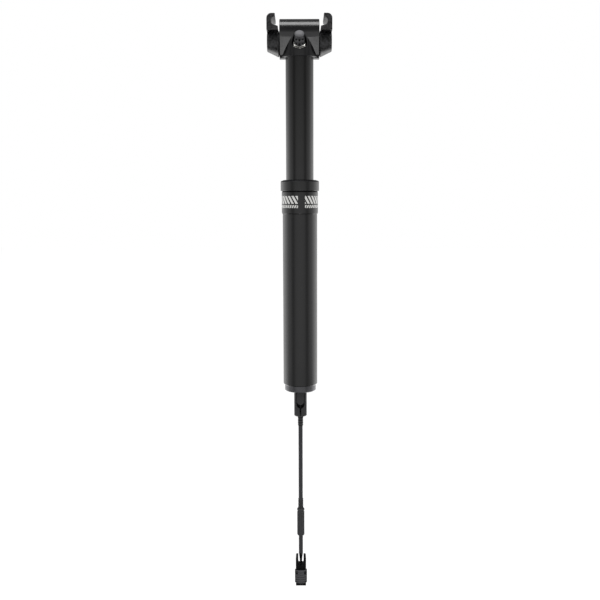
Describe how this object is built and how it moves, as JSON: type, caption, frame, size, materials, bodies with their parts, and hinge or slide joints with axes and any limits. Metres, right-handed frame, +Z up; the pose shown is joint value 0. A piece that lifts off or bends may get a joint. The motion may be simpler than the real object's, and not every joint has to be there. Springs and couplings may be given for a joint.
{
  "type": "dropper_seatpost",
  "caption": "Telescoping bicycle seatpost with a side-hook saddle rail clamp, gas cartridge, air valve, cable actuator in the foot and a small hanging thumb remote.",
  "frame": {"origin": "on the post's axis, at the shoulder of the lower tube that rests on the top of the frame's seat tube", "axes": "Z runs up the post, X runs across the saddle rails to the bolt head's side, and the air valve faces -Y"},
  "size_m": [0.0576, 0.0397, 0.5324],
  "materials": {
    "black_anodised": "satin black anodised aluminium",
    "hard_anodised": "smooth hard-anodised black aluminium",
    "blasted_black": "shot-blasted black anodised forging",
    "grey_anodised": "dark grey anodised",
    "bare_alloy": "turned",
    "bright_steel": "ground",
    "black_steel": "black oxide",
    "brass": "machined",
    "seal_rubber": "matt black rubber",
    "black_plastic": "moulded black plastic",
    "housing_plastic": "extruded black cable housing",
    "bearing_plastic": "filled grey bearing plastic",
    "grip_grey": "ribbed grey grip rubber"
  },
  "bodies": {
    "frame_side": {"lower_tube": "black_anodised", "collar": "black_anodised", "collar_gasket": "seal_rubber", "wiper_seal": "seal_rubber", "upper_bushing": "bearing_plastic", "foot_plug": "black_anodised", "bumper_ring": "seal_rubber", "piston_rod": "bright_steel", "piston": "bare_alloy", "piston_ring": "seal_rubber", "piston_nut": "bright_steel", "actuator_barrel": "black_anodised", "return_spring": "bright_steel", "cable_ferrule": "black_plastic", "cable_housing_upper": "housing_plastic", "adjuster_stud": "black_anodised", "cable_housing_lower": "housing_plastic", "cable_nose": "seal_rubber", "cable_wire_lower": "bright_steel", "remote_yoke": "black_anodised", "lever_pin": "bright_steel"},
    "post": {"stanchion": "hard_anodised", "seat_head": "black_anodised", "valve_body": "bright_steel", "valve_core": "brass", "cartridge_tube": "bare_alloy", "cartridge_cap": "bare_alloy", "rod_gland": "bare_alloy", "rod_seal": "seal_rubber", "top_out_ring": "seal_rubber", "foot_nut": "bright_steel", "lower_bushing": "bearing_plastic", "guide_keys": "brass"},
    "valve_cap": {"valve_cap": "grey_anodised"},
    "saddle_clamp": {"right_jaw": "blasted_black", "clamp_bolt": "black_steel", "clamp_washer": "black_steel"},
    "left_jaw": {"left_jaw": "blasted_black", "clamp_nut": "black_steel"},
    "floating_piston": {"floating_piston": "bare_alloy", "floating_ring": "seal_rubber"},
    "plunger": {"cable_plunger": "black_anodised", "release_pin": "bright_steel", "cable_barrel_end": "bright_steel", "cable_wire_upper": "bright_steel"},
    "adjuster": {"adjuster_barrel": "black_anodised"},
    "lever": {"lever_arm": "black_plastic", "lever_pad": "grip_grey", "cable_anchor": "brass"}
  },
  "joints": [
    {"name": "post_drop", "type": "slide", "parent": "frame_side", "child": "post", "axis": [0, 0, 1], "range_m": [-0.1, 0], "stiffness_N_per_m": 500, "springref_m": 0.3},
    {"name": "cap_turn", "type": "hinge", "parent": "post", "child": "valve_cap", "pos_m": [0, -0.0109, 0.1482], "axis": [0, -0.7071, 0.7071], "continuous": true},
    {"name": "saddle_tilt", "type": "hinge", "parent": "post", "child": "saddle_clamp", "pos_m": [0, 0, 0.1525], "axis": [1, 0, 0], "range_deg": [-12, 12]},
    {"name": "jaw_open", "type": "slide", "parent": "saddle_clamp", "child": "left_jaw", "axis": [-1, 0, 0], "range_m": [0, 0.003]},
    {"name": "floating_piston_slide", "type": "slide", "parent": "post", "child": "floating_piston", "axis": [0, 0, 1], "range_m": [0, 0.0305]},
    {"name": "lever_press", "type": "hinge", "parent": "frame_side", "child": "lever", "pos_m": [0, 0.0095, -0.3451], "axis": [1, 0, 0], "range_deg": [0, 20]},
    {"name": "plunger_pull", "type": "slide", "parent": "frame_side", "child": "plunger", "axis": [0, 0, -1], "range_m": [0, 0.003], "stiffness_N_per_m": 100, "springref_m": -0.004, "deforming": ["return_spring"]},
    {"name": "adjuster_turn", "type": "hinge", "parent": "frame_side", "child": "adjuster", "pos_m": [0, 0, -0.294], "axis": [0, 0, 1], "continuous": true}
  ],
  "couplings": [
    {"joint": "floating_piston_slide", "follows": "post_drop", "ratio": -0.289},
    {"joint": "lever_press", "follows": "plunger_pull", "rad_per_m": 104.7}
  ]
}
